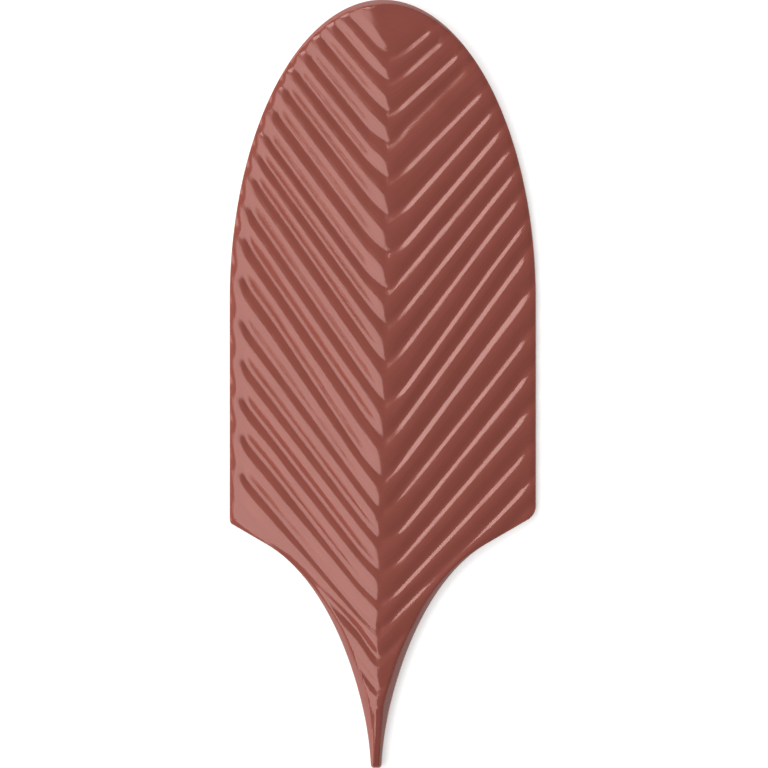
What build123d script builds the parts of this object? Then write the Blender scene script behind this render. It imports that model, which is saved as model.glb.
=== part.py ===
from build123d import *
import math
import os

# Feather-shaped wall tile, pressed, glazed and fired as one piece, in millimetres.
# It lies flat on its back: X across, Y along with the dome at +Y and the stem at -Y,
# Z up out of the decorated face. The origin is the middle of the back.

# Overall size
tile_length = 300.0
tile_width = 120.0

# Outline: half an ellipse for the dome, two straight sides, then hollow shoulders.
# The shoulders have the curve of the dome, so that the domes of the next row nest in them.
dome_height = 117.5
shoulder_top_y = -58.0
stem_axis_x = -2.6
horn_reach = 43.0
stem_straight_y = -128.0
stem_tip_half_width = 2.1
stem_tip_radius = 1.2
left_corner_radius = 1.2
right_corner_radius = 3.5

# Section: a low roof on both sides of the spine. The spine sinks a little towards both ends.
spine_height = 12.6
ridge_fall = 1.6
ridge_top_y = -30.0
side_height = 5.2

# Ribs down both slopes: they get a little steeper from the dome to the stem,
# and where a rib is wide it also stands high
top_steepness = 0.050
bottom_steepness = 0.061
cap_shoulder = 6.0

# Rim: a drafted wall, and a bevel where the roof is higher than the sides
wall_draft = 3.0
bevel_height = 7.0
bevel_slant = 32.0

# Spine: it leans a little across the tile, from the dome to the stem
spine_top_x = 2.4
spine_bottom_x = -3.0

# Where each groove between two ribs crosses the spine, from the dome to the stem
groove_stations = [
    127.6, 118.3, 106.2, 94.1, 80.5, 65.9, 51.7, 37.1, 23.9,
    9.1, -6.1, -20.6, -36.3, -48.8, -60.3, -72.5, -84.6, -95.0,
    -106.2, -118.7, -127.5,
]

# Fan: the grooves are steepest a little below the middle, and flatter at both ends.
# Each row is a station on the spine, then the angle in degrees on the left and the right.
fan = [
    (130.0, 49.0, 40.5),
    (60.0, 53.0, 47.8),
    (-20.0, 55.8, 53.8),
    (-60.0, 52.6, 51.2),
    (-90.0, 49.8, 47.0),
    (-150.0, 45.0, 42.0),
]

# Back: shallow straight keying grooves for the adhesive, across the flat bed
key_depth = 0.6
key_width = 4.0
key_length = 92.0
key_pitch = 12.0
key_count = 10
key_bed_centre_y = 24.0

# Construction: the slopes are ruled past the rim, and the blank stands over the spine
side_margin = 4.0
top_margin = 1.0

half_width = tile_width / 2
half_length = tile_length / 2
dome_centre_y = half_length - dome_height
shoulder_centre_y = shoulder_top_y - dome_height
side_plane = half_width + side_margin
spine_lean = (spine_top_x - spine_bottom_x) / tile_length
spine_middle_x = (spine_top_x + spine_bottom_x) / 2


def ridge_height(station):
    """Height of the spine, which is greatest a little below the middle."""
    share = (station - ridge_top_y) / (half_length - ridge_top_y)
    return spine_height - ridge_fall * share**2


def groove_depths(grooves):
    """Depth of each groove below the roof, from the width of the ribs beside it."""
    pitches = [upper - lower for upper, lower in zip(grooves, grooves[1:])]
    depths = []
    for n, (above, below) in enumerate(zip(pitches[:1] + pitches, pitches + pitches[-1:])):
        steepness = top_steepness + (bottom_steepness - top_steepness) * n / len(pitches)
        depths.append(steepness * (above + below) / 2)
    return depths


def groove_angle(station, side):
    """Angle in degrees at which a groove climbs from the spine, read between the rows of the fan."""
    column = 2 if side > 0 else 1
    for upper, lower in zip(fan, fan[1:]):
        if station >= lower[0]:
            break
    share = (station - lower[0]) / (upper[0] - lower[0])
    return lower[column] + share * (upper[column] - lower[column])


def side_station(station, side):
    """Where along the tile a groove reaches the plane just outside the rim."""
    reach = abs(side * side_plane - spine_middle_x - spine_lean * station)
    return station + reach * math.tan(math.radians(groove_angle(station, side)))


def shoulder(side):
    """From the side of the tile along the hollow shoulder to the stem's tip."""
    centre = (stem_axis_x + side * half_width, shoulder_centre_y)
    horn_angle = math.degrees(math.acos(1 - horn_reach / half_width))
    stem_angle = math.degrees(math.asin((stem_straight_y - shoulder_centre_y) / dome_height))
    hollow = EllipticalCenterArc(
        centre,
        half_width,
        dome_height,
        start_angle=180 - horn_angle if side > 0 else horn_angle,
        arc_size=side * (horn_angle - stem_angle),
    )
    horn = hollow @ 0
    slope = (hollow % 0).Y / (hollow % 0).X
    corner = (side * half_width, horn.Y + slope * (side * half_width - horn.X))
    tip = (stem_axis_x + side * stem_tip_half_width, -half_length)
    Line(corner, horn)
    TangentArc(hollow @ 1, tip, tangent=hollow % 1)
    return corner


# Outline of the tile
with BuildSketch() as outline:
    with BuildLine():
        EllipticalCenterArc((0, dome_centre_y), half_width, dome_height, start_angle=0, arc_size=180)
        for side in (-1, 1):
            corner = shoulder(side)
            Line(corner, (side * half_width, dome_centre_y))
        Line(
            (stem_axis_x - stem_tip_half_width, -half_length),
            (stem_axis_x + stem_tip_half_width, -half_length),
        )
    make_face()
    fillet(outline.vertices().group_by(Axis.Y)[0], stem_tip_radius)
    fillet(outline.vertices().group_by(Axis.X)[0].sort_by(Axis.Y)[0], left_corner_radius)
    fillet(outline.vertices().group_by(Axis.X)[-1].sort_by(Axis.Y)[0], right_corner_radius)

# Blank: the outline drawn up with drafted walls
with BuildPart() as blank:
    add(outline.sketch)
    extrude(amount=spine_height + top_margin, taper=wall_draft)

# Bevel: a straight foot with a steep hip roof on it, which also shapes the ridge of the stem
with BuildPart() as bevel:
    add(outline.sketch)
    extrude(amount=bevel_height)
    with BuildSketch(Plane.XY.offset(bevel_height)):
        add(outline.sketch)
    extrude(amount=spine_height - bevel_height, taper=bevel_slant)


def run_out(bed, depth, way):
    """Beyond the first or last groove: the bend of its far side, the crest, and the level roof's end."""
    groove, height = bed
    roof = height + depth
    bend = (groove + way * cap_shoulder / 2, roof - depth / 4)
    crest = (groove + way * cap_shoulder, roof)
    return bend, crest, (groove + way * half_length, roof)


def rib_section(plane, grooves, roof):
    """Closed section: a rib from groove to groove, with a level run-out at both ends."""
    depths = groove_depths(grooves)
    beds = [(groove, height - depth) for groove, height, depth in zip(grooves, roof, depths)]
    top_bend, top_crest, top_end = run_out(beds[0], depths[0], 1)
    low_bend, low_crest, low_end = run_out(beds[-1], depths[-1], -1)
    below = -spine_height
    with BuildSketch(plane) as section:
        with BuildLine():
            Polyline(low_crest, low_end, (low_end[0], below), (top_end[0], below), top_end, top_crest)
            ThreePointArc(top_crest, top_bend, beds[0])
            for n, (upper, lower) in enumerate(zip(beds, beds[1:])):
                crest = ((upper[0] + lower[0]) / 2, (roof[n] + roof[n + 1]) / 2)
                ThreePointArc(upper, crest, lower)
            ThreePointArc(beds[-1], low_bend, low_crest)
        make_face()
    return section


def ribbed_slope(side):
    """One slope of the roof, ruled from the spine to a plane just outside the rim."""
    spine_plane = Plane(
        origin=(spine_middle_x, 0, 0), x_dir=(spine_lean, 1, 0), z_dir=(1, -spine_lean, 0)
    )
    rim_plane = Plane(origin=(side * side_plane, 0, 0), x_dir=(0, 1, 0), z_dir=(1, 0, 0))
    inner = rib_section(spine_plane, groove_stations, [ridge_height(y) for y in groove_stations])
    rim_stations = [side_station(y, side) for y in groove_stations]
    outer = rib_section(rim_plane, rim_stations, [side_height] * len(rim_stations))
    with BuildPart() as slope:
        add(inner.sketch)
        add(outer.sketch)
        loft(ruled=True)
    return slope.part


# Tile: what the ribbed slopes, the drafted blank and its bevel have in common
slopes = [ribbed_slope(side) for side in (-1, 1)]
with BuildPart() as wall_tile:
    add(slopes)
    add(blank.part, mode=Mode.INTERSECT)
    add(bevel.part, mode=Mode.INTERSECT)
    # The keying grooves stop short of the rim, and leave a land at the origin
    with BuildSketch():
        with Locations((0, key_bed_centre_y)):
            with GridLocations(1, key_pitch, 1, key_count):
                Rectangle(key_length, key_width)
    extrude(amount=key_depth, mode=Mode.SUBTRACT)

wall_tile.part.label = "wall_tile"
os.makedirs("parts", exist_ok=True)
export_step(wall_tile.part, "parts/wall_tile.step")
print("solids", len(wall_tile.part.solids()), "volume", round(wall_tile.part.volume))
print("box", wall_tile.part.bounding_box())
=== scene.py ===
# %% [markdown]
# # A glazed feather tile
#
# The real tile is one pressed slab of clay: a dome at the top, hollow shoulders that run
# down to a slender stem, a raised spine, and ribs that fan down to it. It is dipped in a
# glossy red glaze and fired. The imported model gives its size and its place, and everything
# here is made in that frame, in metres, lying on its back with the face up.

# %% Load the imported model
import math

import bmesh
import bpy
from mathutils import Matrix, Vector, kdtree, noise


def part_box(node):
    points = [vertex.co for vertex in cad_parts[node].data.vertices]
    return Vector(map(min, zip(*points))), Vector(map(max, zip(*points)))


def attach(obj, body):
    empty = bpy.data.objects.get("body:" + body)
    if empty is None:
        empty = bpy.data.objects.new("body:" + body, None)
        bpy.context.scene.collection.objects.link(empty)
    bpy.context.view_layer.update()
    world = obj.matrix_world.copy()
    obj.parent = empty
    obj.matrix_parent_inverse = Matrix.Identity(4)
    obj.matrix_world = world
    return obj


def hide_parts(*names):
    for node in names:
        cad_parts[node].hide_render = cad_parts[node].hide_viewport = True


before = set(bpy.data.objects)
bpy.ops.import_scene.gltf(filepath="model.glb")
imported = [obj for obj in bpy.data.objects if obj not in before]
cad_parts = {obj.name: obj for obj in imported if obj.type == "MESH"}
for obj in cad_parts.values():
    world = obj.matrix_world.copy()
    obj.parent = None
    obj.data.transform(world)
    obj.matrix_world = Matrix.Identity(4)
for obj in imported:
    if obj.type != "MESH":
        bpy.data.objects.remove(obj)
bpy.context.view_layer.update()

low, high = (Vector(corner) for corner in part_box("wall_tile"))
print("tile from the frame, mm:", [round(1000 * side, 1) for side in high - low])

# %% [markdown]
# ## The measures of the tile
#
# The driving sizes are the ones the maker of the mould would use. Length, width and height
# come from the frame. The rest are the same named values as in the tile's own drawing, so
# that the fine mesh lies on the plain solid that it stands for.

# %% Sizes in metres
mm = 0.001
half_width = (high.x - low.x) / 2
half_length = (high.y - low.y) / 2
dome_height = 117.5 * mm
shoulder_top_y = -58.0 * mm
stem_axis_x = -2.6 * mm
horn_reach = 43.0 * mm
stem_straight_y = -128.0 * mm
stem_tip_half_width = 2.1 * mm
stem_tip_radius = 1.2 * mm
right_corner_radius = 3.5 * mm
left_corner_radius = 1.2 * mm
dome_centre_y = half_length - dome_height
shoulder_centre_y = shoulder_top_y - dome_height
print("centre of the dome, mm:", round(dome_centre_y / mm, 1))
print("centre of the shoulders, mm:", round(shoulder_centre_y / mm, 1))

# %% [markdown]
# ## The outline
#
# The outline is a few plain curves: half an ellipse, two straight sides, and on each side a
# piece of the same ellipse turned inside out, so that rows of tiles nest. I could type the
# points in, but circles that are scaled into ellipses and cut by planes say it better, and
# stay exact when a size changes. `create_circle` makes the wire, `bisect_plane` trims it.

# %% Helpers for trimmed arcs
def trim(mesh, verts, point, outward):
    """Keeps the part of a wire behind a plane, and returns its vertices."""
    edges = {edge for vert in verts for edge in vert.link_edges}
    trimmed = bmesh.ops.bisect_plane(
        mesh,
        geom=list(verts) + list(edges),
        dist=0.0,
        plane_co=point,
        plane_no=outward,
        clear_outer=True,
    )
    kept = {item for item in trimmed["geom"] if isinstance(item, bmesh.types.BMVert)}
    kept |= {item for item in trimmed["geom_cut"] if isinstance(item, bmesh.types.BMVert)}
    return [vert for vert in kept if vert.is_valid]


def ellipse(mesh, centre, segments):
    """A wire ellipse with the radii of the dome."""
    ring = bmesh.ops.create_circle(mesh, segments=segments, radius=1.0)["verts"]
    bmesh.ops.scale(mesh, vec=(half_width, dome_height, 1.0), verts=ring)
    bmesh.ops.translate(mesh, vec=(centre[0], centre[1], 0.0), verts=ring)
    return ring


# %% Draw the outline
dome_segments = 480
shoulder_segments = 400
stem_steps = 10
weld_distance = 0.001 * mm


def shoulder_arc(mesh, side):
    """One hollow shoulder, from its horn to where the stem runs nearly straight."""
    centre = (stem_axis_x + side * half_width, shoulder_centre_y)
    arc = ellipse(mesh, centre, shoulder_segments)
    arc = trim(mesh, arc, (stem_axis_x + side * horn_reach, 0, 0), (side, 0, 0))
    return trim(mesh, arc, (0, stem_straight_y, 0), (0, -1, 0))


def stem_arc(mesh, vert, side):
    """Spins the end of the shoulder on, along a circle that touches it, to the tip of the stem."""
    turn = math.asin((stem_straight_y - shoulder_centre_y) / dome_height)
    tangent = Vector((-side * half_width * math.sin(turn), -dome_height * math.cos(turn), 0))
    tangent.normalize()
    tip = Vector((stem_axis_x + side * stem_tip_half_width, -half_length, 0))
    chord = tip - vert.co
    normal = Vector((-tangent.y, tangent.x, 0))
    radius = chord.length_squared / (2 * chord.dot(normal))
    centre = vert.co + normal * radius
    angle = math.copysign(2 * math.asin(chord.length / (2 * abs(radius))), radius)
    bmesh.ops.spin(
        mesh,
        geom=[vert],
        cent=centre,
        axis=(0, 0, 1),
        angle=angle,
        steps=stem_steps,
        use_duplicate=False,
    )


sheet = bmesh.new()
dome = ellipse(sheet, (0, dome_centre_y), dome_segments)
dome = trim(sheet, dome, (0, dome_centre_y, 0), (0, -1, 0))
# Beyond its horn the shoulder runs straight on to the side, at the slope that it has there
horn_offset = half_width - horn_reach
horn_slope = dome_height / half_width * horn_offset / math.sqrt(half_width**2 - horn_offset**2)
corners = {}
for side in (-1, 1):
    arc = shoulder_arc(sheet, side)
    horn = max(arc, key=lambda vert: vert.co.y)
    stem_top = min(arc, key=lambda vert: vert.co.y)
    rise = horn_slope * (half_width - abs(horn.co.x))
    corner = sheet.verts.new((side * half_width, horn.co.y + rise, 0))
    corners[side] = corner.co.copy()
    side_top = Vector((side * half_width, dome_centre_y, 0))
    dome_end = min(dome, key=lambda vert: (vert.co - side_top).length)
    sheet.edges.new((dome_end, corner))
    sheet.edges.new((corner, horn))
    stem_arc(sheet, stem_top, side)
sheet.edges.new(sorted(sheet.verts, key=lambda vert: vert.co.y)[:2])
bmesh.ops.remove_doubles(sheet, verts=sheet.verts, dist=weld_distance)
bmesh.ops.contextual_create(sheet, geom=sheet.edges[:])
print("outline:", len(sheet.verts), "points,", len(sheet.faces), "face")
print("reach, mm:", [round(max(v.co[i] for v in sheet.verts) / mm, 2) for i in (0, 1)])

# %% Round the corners that the glaze has softened
corner_segments = 6


def round_corner(mesh, place, radius):
    """Rounds one corner of the flat outline."""
    corner = min(mesh.verts, key=lambda vert: (vert.co - Vector(place)).length)
    bmesh.ops.bevel(
        mesh,
        geom=[corner],
        offset=radius,
        offset_type="OFFSET",
        affect="VERTICES",
        segments=corner_segments,
        profile=0.5,
        material=-1,
    )


round_corner(sheet, corners[1], right_corner_radius)
round_corner(sheet, corners[-1], left_corner_radius)
for side in (-1, 1):
    tip_corner = (stem_axis_x + side * stem_tip_half_width, -half_length, 0)
    round_corner(sheet, tip_corner, stem_tip_radius)
print("rounded outline:", len(sheet.verts), "points, normal", sheet.faces[:][0].normal.z)

# %% [markdown]
# ## The face, cut along its ribs
#
# A glossy surface shows every fault of its mesh, so the edges of the mesh should run along
# the ribs. A plain grid would cross them at a slant, and its reflections would look like a
# staircase. So the flat sheet is cut by planes that open like the ribs' own fan, and by
# upright planes across them. The rim is left out here: it is drawn outwards later, from the
# border of this field, so that its loops follow the edge of the tile.

# %% Where the grooves run
groove_stations = [
    127.6, 118.3, 106.2, 94.1, 80.5, 65.9, 51.7, 37.1, 23.9,
    9.1, -6.1, -20.6, -36.3, -48.8, -60.3, -72.5, -84.6, -95.0,
    -106.2, -118.7, -127.5,
]
groove_stations = [station * mm for station in groove_stations]
# A station on the spine, then the angle in degrees on the left and on the right
fan = [
    (130.0, 49.0, 40.5),
    (60.0, 53.0, 47.8),
    (-20.0, 55.8, 53.8),
    (-60.0, 52.6, 51.2),
    (-90.0, 49.8, 47.0),
    (-150.0, 45.0, 42.0),
]
spine_top_x = 2.4 * mm
spine_bottom_x = -3.0 * mm
spine_bow = 1.15 * mm
spine_lean = (spine_top_x - spine_bottom_x) / (2 * half_length)
spine_middle_x = (spine_top_x + spine_bottom_x) / 2


def bow(y):
    """How far the spine bends to the right of its chord."""
    return spine_bow * (1 - (y / half_length) ** 2)


def chord_x(y):
    """The straight line between the ends of the spine."""
    return spine_middle_x + spine_lean * y


def spine_x(y):
    """Where the spine runs."""
    return chord_x(y) + bow(y)


def side_of(away):
    """The side of the spine that a place is on: -1 for the left, 1 for the right."""
    return 1 if away > 0 else -1


def groove_slope(station, side):
    """How steeply a rib climbs away from the spine, on the left (-1) or the right (1)."""
    column = 2 if side > 0 else 1
    for upper, lower in zip(fan, fan[1:]):
        if station / mm >= lower[0]:
            break
    share = (station / mm - lower[0]) / (upper[0] - lower[0])
    return math.tan(math.radians(lower[column] + share * (upper[column] - lower[column])))


top_slopes = [round(groove_slope(groove_stations[0], side), 2) for side in (-1, 1)]
print(len(groove_stations), "grooves, slopes at the dome:", top_slopes)

# %% Draw the border of the field
rim_width = 2.6 * mm
# Where the stem is slimmer than this on each side of its axis, the rim takes half of it
slim_stem = 2.2 * rim_width
stem_field_bottom_y = -half_length + 1.2 * mm
foot = sheet.verts.layers.float_vector.new("foot")
outline_points = [loop.vert.co.copy() for loop in sheet.faces[:][0].loops]
bmesh.ops.inset_region(
    sheet,
    faces=sheet.faces[:],
    thickness=rim_width,
    use_even_offset=True,
    use_boundary=True,
)
field = max(sheet.faces, key=lambda face: len(face.verts))
inner = set(field.verts)
for vert in inner:
    neighbours = [edge.other_vert(vert) for edge in vert.link_edges]
    outer = next(other for other in neighbours if other not in inner)
    vert[foot] = outer.co
    if outer.co.y < shoulder_top_y and abs(outer.co.x - stem_axis_x) < slim_stem:
        on_axis = (stem_axis_x, max(outer.co.y, stem_field_bottom_y), 0)
        vert.co = outer.co.lerp(on_axis, 0.5)
bmesh.ops.delete(sheet, geom=[vert for vert in sheet.verts if vert not in inner], context="VERTS")
print("field border:", len(sheet.verts), "points")

# %% Cut the field
cut_tolerance = 0.0005 * mm


def cut(mesh, geom, point, normal):
    """Cuts some of the sheet by a plane, and returns those faces, edges and points again."""
    pieces = bmesh.ops.bisect_plane(
        mesh,
        geom=geom,
        dist=cut_tolerance,
        plane_co=point,
        plane_no=normal,
    )
    return pieces["geom"]


def half_of(mesh, side):
    """The faces on one side of the spine, with their edges and points."""
    middles = [(face, face.calc_center_median()) for face in mesh.faces]
    faces = [face for face, middle in middles if side * (middle.x - chord_x(middle.y)) > 0]
    edges = {edge for face in faces for edge in face.edges}
    verts = {vert for face in faces for vert in face.verts}
    return faces + list(edges) + list(verts)


spine_normal = Vector((1, -spine_lean, 0)).normalized()
cut(sheet, sheet.faces[:] + sheet.edges[:] + sheet.verts[:], (spine_middle_x, 0, 0), spine_normal)
across = 0.85 * mm
cuts_per_rib = 12
cuts_above_ribs = 27
fan_stations = [groove_stations[0] + across * (n + 1) for n in range(cuts_above_ribs)]
for upper, lower in zip(groove_stations, groove_stations[1:]):
    fan_stations += [upper + (lower - upper) * n / cuts_per_rib for n in range(cuts_per_rib)]
fan_stations.append(groove_stations[-1])
reach = half_width + abs(spine_middle_x)
steps = int(reach / across)
for side in (-1, 1):
    geom = half_of(sheet, side)
    for n in range(1, steps + 1):
        geom = cut(sheet, geom, (spine_middle_x + side * reach * n / steps, 0, 0), spine_normal)
    for station in fan_stations:
        normal = Vector((-side * groove_slope(station, side), 1, 0)).normalized()
        geom = cut(sheet, geom, (chord_x(station), station, 0), normal)
for vert in sheet.verts:
    away = abs(vert.co.x - chord_x(vert.co.y))
    vert.co.x += bow(vert.co.y) * max(0.0, 1 - away / half_width)
print("field:", len(sheet.faces), "faces")

# %% [markdown]
# ## The height of the face
#
# Every point of the face gets its height from the same few shapes as the solid: a low roof
# that falls from the spine, ribs between the grooves, and the bevels of the rim. A glaze
# melts and runs before it sets, so no edge of it stays sharp. `soft_min` and `soft_abs`
# round each place where two shapes meet.

# %% Soft versions of min and abs
def soft_min(a, b, reach):
    """The lower of two heights, rounded where they are nearly the same."""
    share = max(reach - abs(a - b), 0.0) / reach
    return min(a, b) - share * share * reach / 4


def soft_abs(a, reach):
    """The distance from a fold, with the fold rounded."""
    return math.sqrt(a * a + reach * reach) - reach


# %% The distance to the edge of the tile
edge_step = 0.4 * mm
edge_points = []
for a, b in zip(outline_points, outline_points[1:] + outline_points[:1]):
    parts = max(1, round((b - a).length / edge_step))
    edge_points += [a.lerp(b, n / parts) for n in range(parts)]
edge_tree = kdtree.KDTree(len(edge_points))
for n, point in enumerate(edge_points):
    edge_tree.insert(point, n)
edge_tree.balance()


def rim_distance(x, y):
    """How far a place is from the outline."""
    place = Vector((x, y, 0))
    nearest = edge_tree.find(place)[1]
    best = half_width
    for n in (nearest - 1, nearest):
        a, b = edge_points[n], edge_points[(n + 1) % len(edge_points)]
        along = max(0.0, min(1.0, (place - a).dot(b - a) / (b - a).length_squared))
        best = min(best, (place - a.lerp(b, along)).length)
    return best


print("outline walked in", len(edge_points), "steps")

# %% [markdown]
# The master of such a tile is carved by hand, so no groove runs quite straight. The photo shows
# it: some drift up or down by up to three millimetres. A value for each groove, near the spine
# and near the rim, is enough, and the places between are read in straight lines.

# %% How the grooves drift
drift_start = 9.0 * mm
drift_end = 42.0 * mm
# In tenths of a millimetre along the tile: near the spine and near the rim, on the left and on
# the right, for each groove from the dome to the stem
drift_rows = [
    (1, -1, -15, -18), (-11, -5, -6, -4), (-8, -7, -5, -9), (-27, -19, 17, 22), (-19, -19, -6, -13),
    (-8, -7, -19, -7), (-19, -16, -16, 2), (-23, -21, 3, 10), (-9, -12, -4, 10), (1, 9, -4, 14),
    (1, 4, -25, 2), (-4, -6, -5, -3), (-12, 26, -3, 11), (4, 12, -5, -9), (-1, 4, -29, -29),
    (-9, 5, -18, -16), (-8, 13, -13, -13), (-16, -12, 6, -26), (27, -5, 0, 0), (25, 25, 0, 0),
    (10, 10, 0, 0),
]
drift_columns = [[0.1 * mm * value for value in column] for column in zip(*drift_rows)]
groove_drift = {-1: drift_columns[:2], 1: drift_columns[2:]}
most_drift = max(abs(value) for column in drift_columns for value in column)
print("the most that a groove drifts, mm:", round(most_drift / mm, 1))

# %% The roof under the ribs
spine_height = high.z
ridge_fall = 1.6 * mm
ridge_top_y = -30.0 * mm
side_height = 5.2 * mm
side_plane = half_width + 4.0 * mm
crest_shift = 2.2 * mm
cap_lean = 0.30
spine_softness = 2.6 * mm
stem_softness = 0.8 * mm
stem_bottom_y = -118.0 * mm
fan_softness = 1.5 * mm
station_rounds = 9


def ridge_height(y):
    """The spine is highest a little below the middle, and sinks towards both ends."""
    return spine_height - ridge_fall * ((y - ridge_top_y) / (half_length - ridge_top_y)) ** 2


def read_between(values, station):
    """Reads a list that has one value for each groove at any station, in straight lines between."""
    if station >= groove_stations[0]:
        return values[0]
    for n, lower in enumerate(groove_stations):
        if station > lower:
            share = (groove_stations[n - 1] - station) / (groove_stations[n - 1] - lower)
            return values[n - 1] + (values[n] - values[n - 1]) * share
    return values[-1]


def near_and_far(pair, station, away):
    """Reads a pair of lists, for near the spine and near the rim, at a place between them."""
    near, far = (read_between(values, station) for values in pair)
    out = max(0.0, min(1.0, (abs(away) - drift_start) / (drift_end - drift_start)))
    return near + (far - near) * out


def drift(station, away):
    """How far a groove has drifted from the fan's straight line, up along the tile."""
    whole = near_and_far(groove_drift[side_of(away)], station, away)
    grown = min(1.0, abs(away) / drift_start)
    return whole * grown * grown * (3 - 2 * grown)


def station_of(x, y):
    """The station on the spine from which the groove through this place starts."""
    # The slope and the drift depend on the station itself, so it is closed in on in rounds
    station = y
    for _ in range(station_rounds):
        away = x - spine_x(station)
        climb = soft_abs(away, fan_softness) * groove_slope(station, side_of(away))
        station = y - climb - drift(station, away)
    return station


def body_share(station):
    """1 on the body of the tile, falling to 0 at the foot of the stem."""
    share = (station - stem_bottom_y) / (shoulder_top_y - stem_bottom_y)
    return max(0.0, min(1.0, share))


def roof_height(x, station):
    """The roof falls in straight lines from its crest to a plane just outside the rim."""
    # The crest runs a little to the left of where the ribs meet, turns away further above the top
    # groove, and is crisper on the stem
    above_ribs = max(0.0, station - groove_stations[0])
    crest_x = spine_x(station) - crest_shift * body_share(station) - cap_lean * above_ribs
    away = x - crest_x
    side = side_of(away)
    softness = stem_softness + (spine_softness - stem_softness) * body_share(station)
    share = soft_abs(away, softness) / soft_abs(side_plane - side * crest_x, softness)
    ridge = ridge_height(station)
    return ridge + (side_height - ridge) * share


print("ridge, mm:", [round(ridge_height(y) / mm, 1) for y in (half_length, 0, -half_length)])

# %% The ribs
# The ribs get a little steeper from the dome to the stem, and where a rib is wide it is also high.
# The grooves are narrow and the crests broad, and glaze lies in the bottom of every groove.
top_steepness = 0.050
bottom_steepness = 0.061
cap_shoulder = 6.0 * mm
crest_breadth = 0.30
groove_fill = 0.03


def depths_of(grooves):
    """The depth of each groove, from the width of the ribs beside it."""
    pitches = [upper - lower for upper, lower in zip(grooves, grooves[1:])]
    depths = []
    for n, (above, below) in enumerate(zip(pitches[:1] + pitches, pitches + pitches[-1:])):
        steepness = top_steepness + (bottom_steepness - top_steepness) * n / len(pitches)
        depths.append(steepness * (above + below) / 2)
    return depths


def side_station(station, side):
    """Where a groove crosses the plane just outside the rim."""
    return station + (side_plane - side * spine_x(station)) * groove_slope(station, side)


spine_depths = depths_of(groove_stations)
side_depths = {}
for side in (-1, 1):
    side_depths[side] = depths_of([side_station(station, side) for station in groove_stations])
# Hand work again: each groove is a little deeper or shallower, in percent, in the same four places
relief_rows = [
    (0, 0, -2, -2), (15, 15, 0, 0), (22, 22, -4, -4), (22, 22, -5, -5), (20, 20, -1, -1),
    (16, 18, -5, -5), (14, 18, -3, -3), (10, 14, -5, -5), (0, 2, -3, -3), (0, 0, 0, 0),
    (0, 0, -4, -4), (0, 0, 2, 2), (-8, -6, -2, -2), (-30, -14, -1, -1), (-10, -10, 4, 4),
    (-2, -2, 0, 0), (-25, 4, -2, -2), (-50, 0, 5, 5), (25, -75, 0, 0), (0, 0, -40, 0),
    (0, 0, -40, 0),
]
relief_columns = list(zip(*relief_rows))
groove_relief = {-1: relief_columns[:2], 1: relief_columns[2:]}
print("groove depths at the spine, mm:", [round(depth / mm, 2) for depth in spine_depths])


def run_out(beyond):
    """How deep in the first or last groove a place beyond it still is, from 0 to 1."""
    return math.cos(math.pi / 2 * min(1.0, beyond / cap_shoulder)) ** 2


def wave(station):
    """The grooves above and below a station, the share between them, and how deep it lies."""
    first, last = groove_stations[0], groove_stations[-1]
    if station >= first:
        return 0, 0, 0.0, run_out(station - first)
    if station <= last:
        end = len(groove_stations) - 1
        return end, end, 0.0, run_out(last - station)
    n =next(n for n, lower in enumerate(groove_stations) if station > lower)
    share = (groove_stations[n - 1] - station) / (groove_stations[n - 1] - groove_stations[n])
    turn = share + crest_breadth * math.sin(2 * math.pi * share) / (2 * math.pi)
    return n - 1, n, share, math.cos(math.pi * turn) ** 2


def groove_depth(x, station):
    """How far the ribs dip below the roof at a place."""
    above, below, share, dip = wave(station)
    away = x - spine_x(station)
    side = side_of(away)
    out = abs(away) / (side_plane - side * spine_x(station))
    upper, lower = (
        spine_depths[n] + (side_depths[side][n] - spine_depths[n]) * out for n in (above, below)
    )
    carved = 1 + near_and_far(groove_relief[side], station, away) / 100
    return (upper + (lower - upper) * share) * dip * carved * (1 - groove_fill)


# %% Where glaze has filled the grooves
# It pools just right of the spine, and in a band inside the rim, but less at the lower right
rim_pool_least = 0.35
spine_pool, spine_pool_place, spine_pool_width = 0.27, 2.2 * mm, 3.0 * mm
rim_pool, rim_pool_place = 0.75, 3.5 * mm
rim_pool_inner_width, rim_pool_outer_width = 2.7 * mm, 2.3 * mm
rim_pool_squareness = 2.6


def pooled(x, y, station, distance):
    """Which share of a groove the glaze has filled at a place."""
    beside_spine = (x - spine_x(station) - spine_pool_place) / spine_pool_width
    width = rim_pool_inner_width if distance > rim_pool_place else rim_pool_outer_width
    beside_rim = (distance - rim_pool_place) / width
    upper_left = max(rim_pool_least, min(1.0, 0.5 - x / half_width + y / half_length))
    at_spine = spine_pool / (1 + beside_spine**2)
    at_rim = rim_pool * upper_left * math.exp(-(abs(beside_rim) ** rim_pool_squareness))
    return at_spine + at_rim


left_share = pooled(-half_width + rim_pool_place, 0, 0, rim_pool_place)
print("filled beside the left rim:", round(left_share, 2))

# %% The rim
# The edge is rounded over, and the ribs run out over the rounding
edge_drop = 0.50 * mm
edge_round = 2.8 * mm
bevel_height = 7.0 * mm
bevel_slant = 32.0
bevel_softness = 0.6 * mm
broad_wave, broad_size = 0.17 * mm, 21.0 * mm
fine_wave, fine_size = 0.03 * mm, 6.5 * mm


def unevenness(x, y):
    """The slight waves that pressing, drying and the run of the glaze leave in the face."""
    place = Vector((x, y, 0))
    return broad_wave * noise.noise(place / broad_size) + fine_wave * noise.noise(place / fine_size)


def face_height(x, y):
    """The height of the glazed face, ribs and rim and all."""
    station = station_of(x, y)
    roof = roof_height(x, station)
    distance = rim_distance(x, y)
    bevel = bevel_height + distance / math.tan(math.radians(bevel_slant))
    groove = groove_depth(x, station) * (1 - pooled(x, y, station, distance))
    rounding = edge_drop * max(0.0, 1 - distance / edge_round) ** 2
    return soft_min(roof - groove - rounding + unevenness(x, y), bevel, bevel_softness)


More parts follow.
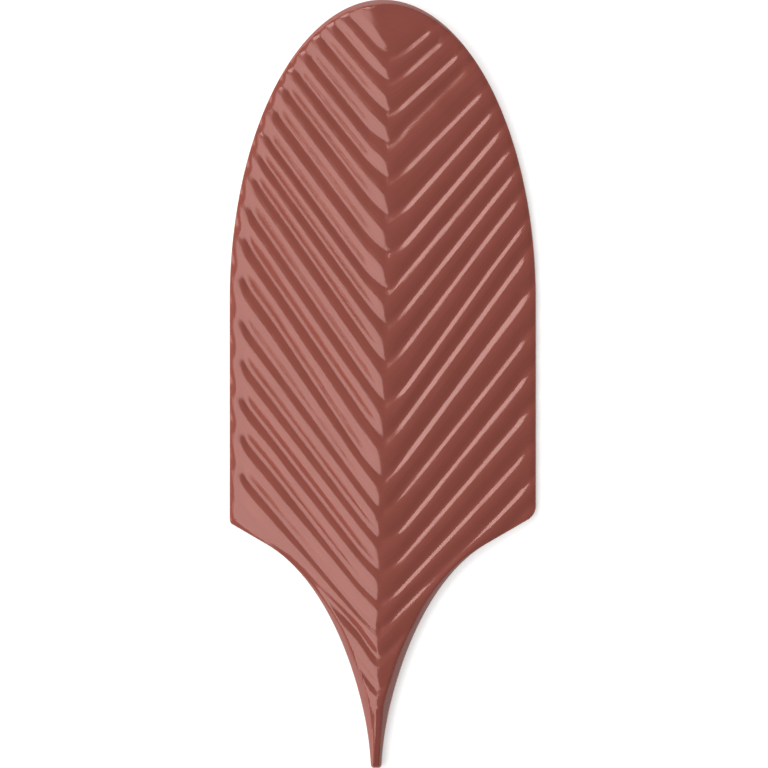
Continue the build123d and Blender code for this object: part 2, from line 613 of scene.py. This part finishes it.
for vert in sheet.verts:
    vert.co.z = face_height(vert.co.x, vert.co.y)
heights = [vert.co.z for vert in sheet.verts]
print("face heights, mm:", round(min(heights) / mm, 2), "to", round(max(heights) / mm, 2))

# %% [markdown]
# ## The rim and the walls
#
# The border of the field is drawn outwards loop by loop. Each loop stands a little nearer to
# the outline and takes its height from the same shapes, so the ribs run out over the rim in
# small scallops. Below the bevels the wall goes straight down with the draft that lets the
# tile out of its mould.

# %% Draw the rim outwards
# Distances from the outline in millimetres, then shares of the height of the wall
rim_loops = (2.15, 1.75, 1.4, 1.1, 0.85, 0.65, 0.45, 0.3)
wall_loops = (0.93, 0.75, 0.5, 0.25, 0.12)
wall_inset = 0.3 * mm


def draw_out(mesh, border, place):
    """Extrudes a border of edges, puts its new points in place, and returns the new border."""
    grown = bmesh.ops.extrude_edge_only(mesh, edges=border)["geom"]
    for vert in (item for item in grown if isinstance(item, bmesh.types.BMVert)):
        vert.co = place(vert)
    return [item for item in grown if isinstance(item, bmesh.types.BMEdge) and item.is_boundary]


foot = sheet.verts.layers.float_vector["foot"]
inward = sheet.verts.layers.float_vector.new("inward")
rim_top = sheet.verts.layers.float.new("rim_top")
border = [edge for edge in sheet.edges if edge.is_boundary]
for vert in {vert for edge in border for vert in edge.verts}:
    vert[inward] = Vector((vert.co.x, vert.co.y, 0)) - vert[foot]


def on_rim(distance):
    """A point of the rim at a distance from the outline."""
    def place(vert):
        x, y, _ = vert[foot] + vert[inward] * min(1.0, distance / rim_width)
        vert[rim_top] = face_height(x, y)
        return Vector((x, y, vert[rim_top]))
    return place


def on_wall(share):
    """A point of the drafted wall, at a share of its height."""
    def place(vert):
        x, y, _ = vert[foot] + vert[inward].normalized() * wall_inset * share
        return Vector((x, y, vert[rim_top] * share))
    return place


for distance in rim_loops:
    border = draw_out(sheet, border, on_rim(distance * mm))
for share in wall_loops:
    border = draw_out(sheet, border, on_wall(share))
print("with rim and wall:", len(sheet.faces), "faces, open edges", len(border))

# %% Close the back
foot_round = 0.4 * mm
border = draw_out(sheet, border, lambda vert: vert[foot] + Vector((0, 0, foot_round)))
border = draw_out(sheet, border, lambda vert: vert[foot] + vert[inward].normalized() * foot_round)
back = bmesh.ops.contextual_create(sheet, geom=border)["faces"]
bmesh.ops.recalc_face_normals(sheet, faces=sheet.faces[:])
open_edges = sum(edge.is_boundary for edge in sheet.edges)
print("back normal", [round(c, 2) for c in back[0].normal], "open edges", open_edges)

# %% [markdown]
# ## The keying grooves in the back
#
# The photo never shows the back. Pressed tiles have shallow grooves there, which the
# adhesive keys into, and the solid has them too. The flat back is cut into strips and the
# strips are pressed in with `inset_region`, which leaves them a little draft.

# %% Press the keying grooves
key_depth, key_width, key_length = 0.6 * mm, 4.0 * mm, 92.0 * mm
key_pitch, key_count, key_bed_centre_y = 12.0 * mm, 10, 24.0 * mm
key_draft = 0.25 * mm
key_centres = [key_bed_centre_y + key_pitch * (n - (key_count - 1) / 2) for n in range(key_count)]
key_edges = [centre + half * key_width / 2 for centre in key_centres for half in (-1, 1)]
geom = back[:]
geom += [edge for face in back for edge in face.edges]
geom += [vert for face in back for vert in face.verts]
for y in key_edges:
    geom = cut(sheet, geom, (0, y, 0), (0, 1, 0))
for side in (-1, 1):
    geom = cut(sheet, geom, (side * key_length / 2, 0, 0), (1, 0, 0))


def in_a_key(face):
    """Whether a strip of the back is one of the grooves."""
    middle = face.calc_center_median()
    near = min(abs(middle.y - centre) for centre in key_centres)
    return near < key_width / 2 and abs(middle.x) < key_length / 2


strips = [item for item in geom if isinstance(item, bmesh.types.BMFace) and item.is_valid]
keys = [strip for strip in strips if in_a_key(strip)]
bmesh.ops.inset_region(
    sheet,
    faces=keys,
    thickness=key_draft,
    depth=-key_depth,
    use_even_offset=True,
)
print("keying grooves:", len(keys))

# %% [markdown]
# ## Painted shade and light on the glaze
#
# The colour of the glaze is painted darker in the bottoms of the grooves, as shade, lighter on
# the slopes of the ribs, as painted light, and lighter along the edge of the face, as a painted
# highlight. A material can't know where the slopes are, but the mesh does. So each point notes
# four things for the material to read as attributes: how deep in a groove it lies, whether it
# is on a slope, how near to the edge of the face it is, and its place along and across the ribs.

# %% Note where shade and light are painted on the glaze
# How far in from the edge the painted highlight reaches
edge_reach = 0.7 * mm
# The painted highlight of the edge ends quickly down the wall: this is the power of its height
# there
wall_fade = 4
sheet.normal_update()
groove_shade = sheet.verts.layers.float.new("groove_shade")
slope_light = sheet.verts.layers.float.new("slope_light")
edge_highlight = sheet.verts.layers.float.new("edge_highlight")
run = sheet.verts.layers.float_vector.new("run")
for vert in sheet.verts:
    x, y, z = vert.co
    station = station_of(x, y)
    on_the_wall = z / vert[rim_top] if vert[rim_top] else 1.0
    distance = rim_distance(x, y)
    dip = wave(station)[3]
    filled = min(1.0, pooled(x, y, station, distance)) if vert.normal.z > 0 else 1.0
    # The bottoms of the grooves get painted shade, which tends to a middle value where glaze has
    # filled them
    vert[groove_shade] = dip + (0.5 - dip) * filled
    # The slopes of the ribs get painted light, except where glaze has filled the grooves
    vert[slope_light] = 4 * dip * (1 - dip) * (1 - filled)
    # The edge of the face gets a painted highlight, which fades down the wall
    vert[edge_highlight] = math.exp(-((distance / edge_reach) ** 2)) * on_the_wall**wall_fade
    vert[run] = (station, x - spine_x(station), 0)
print("points at the very edge:", sum(vert[edge_highlight] > 0.5 for vert in sheet.verts))

# %% Make the tile
sharp_turn = math.radians(40)
back_margin = 0.1 * mm
for face in sheet.faces:
    face.smooth = True
for edge in sheet.edges:
    at_the_back = max(vert.co.z for vert in edge.verts) < key_depth + back_margin
    if at_the_back and len(edge.link_faces) == 2 and edge.calc_face_angle() > sharp_turn:
        edge.smooth = False
triangles = sum(len(face.verts) - 2 for face in sheet.faces)
tile_mesh = bpy.data.meshes.new("feather_tile")
sheet.to_mesh(tile_mesh)
sheet.free()
tile = bpy.data.objects.new("feather_tile", tile_mesh)
bpy.context.scene.collection.objects.link(tile)
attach(tile, "root")
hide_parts("wall_tile")
print("tile:", len(tile_mesh.polygons), "faces,", triangles, "triangles")

# %% [markdown]
# ## The glaze
#
# A glossy glaze is mostly reflection, but a flat colour under it looks like plastic. Here the
# colour has painted shade in the bottoms of the grooves, painted light on the slopes and a
# painted highlight along the edge, it has faint clouds, and its skin is not quite level, so that
# reflections waver. All of that is made from nodes on Object coordinates and on the four
# attributes. The back was stood on in the kiln and has no glaze: below a slightly wandering line
# the material turns to bare fired clay.

# %% Small helpers for nodes
def add_node(tree, kind, inputs=(), **settings):
    """Adds a shader node. Each input is given a value, or a socket that is linked to it."""
    node = tree.nodes.new("ShaderNode" + kind)
    for name, value in settings.items():
        setattr(node, name, value)
    for name, value in dict(inputs).items():
        if isinstance(value, bpy.types.NodeSocket):
            tree.links.new(value, node.inputs[name])
        else:
            node.inputs[name].default_value = value
    return node


def blend(tree, share, first, second):
    """A colour between two others. A Mix node keeps its colour sockets at 6 and 7."""
    first, second = ((*c, 1) if isinstance(c, tuple) else c for c in (first, second))
    return add_node(tree, "Mix", {0: share, 6: first, 7: second}, data_type="RGBA").outputs[2]


def stretch(tree, value, start, end, low=0.0, high=1.0):
    """A value that goes from low to high while another goes from start to end."""
    inputs = {"Value": value, "From Min": start, "From Max": end, "To Min": low, "To Max": high}
    return add_node(tree, "MapRange", inputs).outputs["Result"]


def cloud(tree, place, size, detail=2.0):
    """Soft noise with features of about a given size in metres."""
    inputs = {"Vector": place, "Scale": 1 / size, "Detail": detail}
    return add_node(tree, "TexNoise", inputs).outputs["Fac"]


def calculate(tree, operation, first, second):
    """One step of arithmetic on two values."""
    return add_node(tree, "Math", {0: first, 1: second}, operation=operation).outputs[0]


def attribute(tree, name, output="Fac"):
    """What the points of the mesh have noted."""
    return add_node(tree, "Attribute", attribute_name=name).outputs[output]


# %% Colour of the glaze
crest_red = (0.300, 0.080, 0.062)
# Painted shade for the bottoms of the grooves, also the colour of the darker streaks and flecks
groove_shade_and_streak_red = (0.270, 0.070, 0.055)
# Painted light for the slopes of the ribs
slope_light_red = (0.310, 0.082, 0.058)
# A painted highlight for the edge of the face
edge_highlight_red = (0.36, 0.118, 0.083)
cloud_red = (0.260, 0.068, 0.049)
cloud_size = 16 * mm
fleck_size = 1.1 * mm
# How much of the colour below is covered where each of these is strongest
streak_cover = 0.60
cloud_cover = 0.45
fleck_cover = 0.25
edge_highlight_cover = 0.45


def along_ribs(tree, pace_across, pace_along):
    """Noise that is drawn out along the ribs, as glaze runs. A pace is in waves per metre."""
    place = attribute(tree, "run", "Vector")
    scale = (pace_across, pace_along, 1)
    drawn_out = add_node(tree, "Mapping", {"Vector": place, "Scale": scale})
    return cloud(tree, drawn_out.outputs[0], 1.0)


def glaze_colour(tree, place):
    """Red glaze: painted shade in grooves, painted light on slopes and edges, and faint clouds."""
    # Painted shade in the bottoms of the grooves
    colour = blend(tree, attribute(tree, "groove_shade"), crest_red, groove_shade_and_streak_red)
    # Painted light on the slopes of the ribs
    colour = blend(tree, attribute(tree, "slope_light"), colour, slope_light_red)
    streaks = along_ribs(tree, pace_across=900, pace_along=20)
    streaks = stretch(tree, streaks, 0.40, 0.65, high=streak_cover)
    colour = blend(tree, streaks, colour, groove_shade_and_streak_red)
    clouds = stretch(tree, cloud(tree, place, cloud_size), 0.42, 0.68, high=cloud_cover)
    colour = blend(tree, clouds, colour, cloud_red)
    flecks = cloud(tree, place, fleck_size, detail=1.0)
    flecks = stretch(tree, flecks, 0.55, 0.75, high=fleck_cover)
    colour = blend(tree, flecks, colour, groove_shade_and_streak_red)
    # A painted highlight along the edge of the face
    edge = calculate(tree, "MULTIPLY", attribute(tree, "edge_highlight"), edge_highlight_cover)
    return blend(tree, edge, colour, edge_highlight_red)


# %% Skin of the glaze
dimple_size = 3.2 * mm
dimple_height = 0.010 * mm
ripple_height = 0.026 * mm


def glaze_skin(tree, place):
    """How far the skin stands out, in metres: soft dimples, and ripples along the ribs."""
    dimples = cloud(tree, place, dimple_size, detail=1.0)
    dimples = calculate(tree, "MULTIPLY", dimples, dimple_height)
    ripples = along_ribs(tree, pace_across=700, pace_along=8)
    ripples = calculate(tree, "MULTIPLY", ripples, ripple_height)
    return calculate(tree, "ADD", dimples, ripples)


# %% Bare clay of the back
clay_pale = (0.62, 0.40, 0.27)
clay_dark = (0.50, 0.30, 0.19)
speckle_size, patch_size, grain_size = 0.8 * mm, 14 * mm, 0.5 * mm
grain_height = 0.04 * mm
# The line is high enough that no glaze gets into the keying grooves
glaze_line = key_depth + 0.45 * mm
wander_size, line_wander = 9 * mm, 0.7 * mm
# The clay starts to show at the first of these depths below the line, and is bare at the second
shows_below, bare_below = 0.25 * mm, 0.45 * mm


def clay_colour(tree, place):
    """Fired clay, a little cloudy and grainy."""
    speckles = cloud(tree, place, speckle_size, detail=4.0)
    patches = cloud(tree, place, patch_size)
    grain = calculate(tree, "MULTIPLY", speckles, patches)
    return blend(tree, stretch(tree, grain, 0.15, 0.38), clay_dark, clay_pale)


def clay_grain(tree, place):
    """How far the grain of the clay stands out, in metres."""
    grain = cloud(tree, place, grain_size, detail=3.0)
    return calculate(tree, "MULTIPLY", grain, grain_height)


def bare_share(tree, place):
    """1 where the clay is bare. The line wanders by a few tenths of a millimetre."""
    height = add_node(tree, "SeparateXYZ", {"Vector": place}).outputs["Z"]
    wander = calculate(tree, "MULTIPLY", cloud(tree, place, wander_size), line_wander)
    level = calculate(tree, "SUBTRACT", height, wander)
    return stretch(tree, level, glaze_line - shows_below, glaze_line - bare_below)


# %% Put the glaze together
least_roughness, most_roughness = 0.10, 0.15
gloss_patch_size = 7 * mm
clay_roughness = 0.85
warm_reflection = (1.0, 0.70, 0.65, 1)


def red_glaze():
    """The glaze of the face and walls, and the bare clay of the back."""
    material = bpy.data.materials.new("red_glaze")
    material.use_nodes = True
    tree = material.node_tree
    shader = tree.nodes["Principled BSDF"]
    place = add_node(tree, "TexCoord").outputs["Object"]
    bare = bare_share(tree, place)
    colour = blend(tree, bare, glaze_colour(tree, place), clay_colour(tree, place))
    gloss = cloud(tree, place, gloss_patch_size)
    gloss = stretch(tree, gloss, 0.35, 0.65, low=least_roughness, high=most_roughness)
    skins = {0: bare, 2: glaze_skin(tree, place), 3: clay_grain(tree, place)}
    height = add_node(tree, "Mix", skins, data_type="FLOAT").outputs[0]
    roughnesses = {0: bare, 2: gloss, 3: clay_roughness}
    roughness = add_node(tree, "Mix", roughnesses, data_type="FLOAT").outputs[0]
    bump = add_node(tree, "Bump", {"Height": height, "Distance": 1.0})
    tree.links.new(colour, shader.inputs["Base Color"])
    tree.links.new(roughness, shader.inputs["Roughness"])
    tree.links.new(bump.outputs["Normal"], shader.inputs["Normal"])
    shader.inputs["Specular Tint"].default_value = warm_reflection
    return material


tile.data.materials.append(red_glaze())
print("glaze nodes:", len(tile.data.materials[0].node_tree.nodes))

# %% [markdown]
# ## The floor
#
# The tile lies on plain white paper. Paper that only reflects light would render grey where
# the lamps are weak, and more lamps would bleach the tile. So the paper also glows a little,
# but only for rays that come from the camera or from a reflection, and it lights nothing. What
# it reflects is added to that glow, so the soft shadow beside the tile stays.

# %% White paper
paper_size = 3.0
# The paper lies a hair below the tile, so that the two flat faces don't fight for the same place
paper_gap = 0.1 * mm
paper_colour = (0.8, 0.8, 0.8, 1)
paper_glow = 0.5


def white_paper():
    """Paper that looks white to the camera and in reflections, and still takes a shadow."""
    material = bpy.data.materials.new("white_paper")
    material.use_nodes = True
    tree = material.node_tree
    shader = tree.nodes["Principled BSDF"]
    shader.inputs["Base Color"].default_value = paper_colour
    shader.inputs["Roughness"].default_value = 1.0
    shader.inputs["Specular IOR Level"].default_value = 0.0
    path = add_node(tree, "LightPath").outputs
    seen = calculate(tree, "MAXIMUM", path["Is Camera Ray"], path["Is Glossy Ray"])
    seen = calculate(tree, "MAXIMUM", seen, path["Is Transmission Ray"])
    glow = add_node(tree, "Emission", {"Strength": calculate(tree, "MULTIPLY", seen, paper_glow)})
    both = add_node(tree, "AddShader", {0: shader.outputs[0], 1: glow.outputs[0]})
    tree.links.new(both.outputs[0], tree.nodes["Material Output"].inputs["Surface"])
    return material


paper_sheet = bmesh.new()
bmesh.ops.create_grid(paper_sheet, x_segments=1, y_segments=1, size=paper_size)
bmesh.ops.translate(paper_sheet, vec=(0, 0, -paper_gap), verts=paper_sheet.verts)
paper_mesh = bpy.data.meshes.new("floor")
paper_sheet.to_mesh(paper_mesh)
paper_sheet.free()
paper_mesh.materials.append(white_paper())
floor = bpy.data.objects.new("floor", paper_mesh)
bpy.context.scene.collection.objects.link(floor)
print("floor:", paper_size * 2, "m square")

# %% [markdown]
# ## The light
#
# A glossy relief draws its own picture of the lamps: each slope of a rib shows the part of the
# studio that it faces. Two soft boxes hang over the tile. The large one is mirrored in the
# slopes that face left and down, and gives the pale bands on that side. The small bright one
# is mirrored only in the steepest slopes that face left and up, and draws the thin lines on
# the right. A narrow strip beside the large box draws thin lines inside the pale bands. A low
# panel at the left lights the walls and the edge, and a dim room fills the shadows.

# %% Hang the lamps
lamp_height = 2.4


def softbox(name, place, lean, spin, size, radiance):
    """A soft rectangle of light, leant from facing down towards +X, then spun, in degrees."""
    lamp = bpy.data.lights.new(name, "AREA")
    lamp.shape = "RECTANGLE"
    lamp.size, lamp.size_y = size
    lamp.energy = radiance * math.pi * size[0] * size[1]
    box = bpy.data.objects.new(name, lamp)
    box.rotation_euler = (0, -math.radians(lean), math.radians(spin))
    box.location = place
    bpy.context.scene.collection.objects.link(box)
    print(name, "gives", round(lamp.energy, 1), "W")


softbox(
    "overhead_softbox",
    place=(-0.822, -0.42, lamp_height),
    lean=0,
    spin=-24,
    size=(1.30, 1.63),
    radiance=4.4,
)
softbox(
    "highlight_softbox",
    place=(-0.50, 1.00, lamp_height),
    lean=0,
    spin=50,
    size=(0.70, 0.90),
    radiance=7.6,
)
softbox(
    "strip_light",
    place=(-1.565, -0.026, lamp_height),
    lean=0,
    spin=-24,
    size=(0.10, 1.74),
    radiance=6.0,
)
softbox(
    "side_panel",
    place=(-1.25, 0.50, 0.32),
    lean=75,
    spin=-22,
    size=(0.6, 3.0),
    radiance=3.3,
)

# %% Dim room
room_light = 0.22
room = bpy.data.worlds.new("dim_room")
room.use_nodes = True
room.node_tree.nodes["Background"].inputs["Color"].default_value = (1, 1, 1, 1)
room.node_tree.nodes["Background"].inputs["Strength"].default_value = room_light
bpy.context.scene.world = room
print("room light:", room_light)

# %% [markdown]
# ## The camera
#
# The photo looks straight down on the tile, which fills its height. The camera is put 2.5 m
# away, so that the walls hardly show, and its lens is worked out from what it has to frame: a
# picture of 768 pixels, in which the tile is 767 pixels long and a little off the middle.

# %% Point the camera
picture_pixels = 768
tile_pixels = 767
tile_middle_pixels = (382.75, 383.5)
camera_height = 2.5
pixel = (high.y - low.y) / tile_pixels
lens_data = bpy.data.cameras.new("camera")
lens_data.lens = lens_data.sensor_width * camera_height / (picture_pixels * pixel)
camera = bpy.data.objects.new("camera", lens_data)
off_x, off_y = (picture_pixels / 2 - middle for middle in tile_middle_pixels)
camera.location = (off_x * pixel, -off_y * pixel, camera_height)
bpy.context.scene.collection.objects.link(camera)
bpy.context.scene.camera = camera
bpy.context.scene.view_settings.view_transform = "Standard"
print("lens, mm:", round(lens_data.lens))
